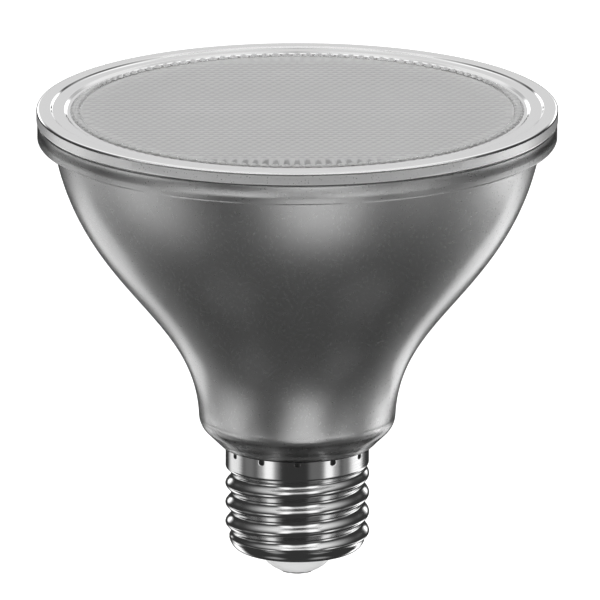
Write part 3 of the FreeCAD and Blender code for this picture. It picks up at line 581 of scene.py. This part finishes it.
# A pale floor for the camera and for soft light. It is clear from below, and leaves mirrored and
# refracted rays to the studio
FLOOR_Z, FLOOR_REACH, FLOOR_GLOW = -0.03, 3, 0.68
floor_mesh = bpy.data.meshes.new("floor")
floor_mesh.from_pydata(
    [(x * FLOOR_REACH, y * FLOOR_REACH, FLOOR_Z) for x, y in ((-1, -1), (1, -1), (1, 1), (-1, 1))],
    [], [(0, 1, 2, 3)])
floor = bpy.data.objects.new("floor", floor_mesh)
bpy.context.scene.collection.objects.link(floor)
floor_paint = bpy.data.materials.new("pale_floor")
tree = Tree(floor_paint)
seen = tree.node("ShaderNodeLightPath", output="Is Camera Ray")
bounced = tree.beside(seen, "Is Diffuse Ray")
plain = tree.node("ShaderNodeBsdfDiffuse", {}, {"Color": grey(0.8)})
glow = tree.node(
    "ShaderNodeEmission", {}, {"Color": grey(1.0), "Strength": FLOOR_GLOW * (seen + bounced)})
lit = tree.node("ShaderNodeAddShader", {}, {0: plain, 1: glow})
clear = tree.node("ShaderNodeBsdfTransparent")
back = tree.node("ShaderNodeNewGeometry", output="Backfacing")
tree.node("ShaderNodeOutputMaterial", {}, {
    "Surface": tree.node("ShaderNodeMixShader", {}, {0: back, 1: lit, 2: clear})})
floor_mesh.materials.append(floor_paint)
floor.visible_glossy = False
floor.visible_transmission = False


# Each light of the studio: azimuth from the camera's side (right is plus), elevation, reach in
# azimuth and in elevation, all in degrees, and how much it adds to the base. Every ray gets the
# lights around the bulb. Rays that a bare face mirrors get those on the plating as well, from a
# base that is lower by the drop, and all other rays get those on the film
STUDIO_BASE, MIRRORED_DROP = 0.09, 0.05
AROUND = [
    (-28, 44, 12, 14, 0.9),
    (28, 44, 12, 14, 0.9),
    (180, 15, 26, 9, 0.6),
    (160, 9, 13, 6, 1.8),
    (-160, 9, 13, 6, 1.8),
    (180, 38, 40, 14, 1.0),
    (0, 90, 181, 42, 1.2),
]
ON_FILM = [
    (-59, 17, 21, 22, 1.6),
    (50, 12, 28, 27, 0.9),
    (12, -40, 23, 12, 1.0),
    (7, -17, 26, 9, 1.25),
    (-84, -17, 17, 9, 0.85),
    (-93, -32, 14, 10, 0.9),
    (107, -36, 14, 9, 0.3),
    (68, -28, 16, 12, 0.3),
    (-71, -36, 13, 12, 0.5),
    (150, -31, 12, 9, 2.4),
    (-146, -32, 15, 9, 2.0),
    (112, -17, 17, 5, 2.2),
    (126, -23, 16, 6, 2.0),
    (-122, -17, 20, 5, 2.0),
]
ON_PLATING = [
    (-47, -10, 9, 18, 0.7),
    (-49, -10, 18, 18, 0.45),
    (53, -10, 8, 18, 0.7),
    (56, -10, 16, 18, 0.45),
    (28, -10, 10, 18, 0.12),
    (-84, -10, 12, 18, 0.15),
    (87, -10, 10, 18, 0.16),
    (-92, -70, 34, 8, 0.3),
    (92, -70, 34, 8, 0.3),
    (150, -31, 12, 9, 1.7),
    (-146, -32, 15, 9, 1.4),
    (112, -17, 17, 5, 1.2),
    (126, -23, 16, 6, 1.2),
    (-122, -17, 20, 5, 1.0),
]


def sky(tree):
    """The azimuth from the camera's side and the elevation of a direction, in degrees."""
    spot = tree.node("ShaderNodeTexCoord", output="Generated")
    split = tree.node("ShaderNodeSeparateXYZ", {}, {"Vector": spot})
    x, y, z = (tree.beside(split, axis) for axis in "XYZ")
    return x.maths("ARCTAN2", x, 0 - y) * (180 / math.pi), z.maths("ARCSINE", z) * (180 / math.pi)


def light_from(azimuth, elevation, side, height, width, tall):
    """A soft-edged patch of light: exp(-(turn / width)^4 - (rise / tall)^4)."""
    turn = azimuth.maths("WRAP", azimuth - side, 180.0, -180.0)
    lobe = (turn / width) ** 4 + ((elevation - height) / tall) ** 4
    return lobe.maths("EXPONENT", 0 - lobe)


def white_share(tree):
    """1 for what the camera sees straight or through clear glass alone, and 0 for the rest."""
    seen = tree.node("ShaderNodeLightPath", output="Is Camera Ray")
    refracted = tree.node("ShaderNodeLightPath", output="Is Transmission Ray")
    turns = tree.beside(seen, "Glossy Depth") + tree.beside(seen, "Diffuse Depth")
    return seen.maths("MAXIMUM", seen, refracted * turns.maths("LESS_THAN", turns, 0.5))


world = bpy.data.worlds.new("studio")
bpy.context.scene.world = world
tree = Tree(world)
azimuth, elevation = sky(tree)
glossy = tree.node("ShaderNodeLightPath", output="Is Glossy Ray")
mirrored = glossy * (1 - tree.beside(glossy, "Is Transmission Ray"))
light = STUDIO_BASE - MIRRORED_DROP * mirrored
for patches, amount in ((AROUND, 1.0), (ON_FILM, 1 - mirrored), (ON_PLATING, mirrored)):
    for *patch, strength in patches:
        light = light + strength * amount * light_from(azimuth, elevation, *patch)
share = white_share(tree)
tree.node("ShaderNodeOutputWorld", {}, {
    "Surface": tree.node(
        "ShaderNodeBackground", {}, {"Color": grey(1.0), "Strength": light * (1 - share) + share})})

# The camera looks down by its tilt at a target near the axis, from so far that the view's width
# fills the picture
TILT, LENS, SENSOR, VIEW_WIDTH = math.radians(15), 1500, 36, 0.1092
TARGET = np.array([0.0005, -0.00907, 0.05364])
camera_data = bpy.data.cameras.new("camera")
camera_data.lens = LENS
camera_data.sensor_width = SENSOR
camera_data.clip_end = 30
camera = bpy.data.objects.new("camera", camera_data)
bpy.context.scene.collection.objects.link(camera)
distance = VIEW_WIDTH * LENS / SENSOR
camera.location = TARGET - distance * np.array([0, math.cos(TILT), -math.sin(TILT)])
camera.rotation_euler = (math.pi / 2 - TILT, 0, 0)
bpy.context.scene.camera = camera
bpy.context.scene.view_settings.view_transform = "Standard"
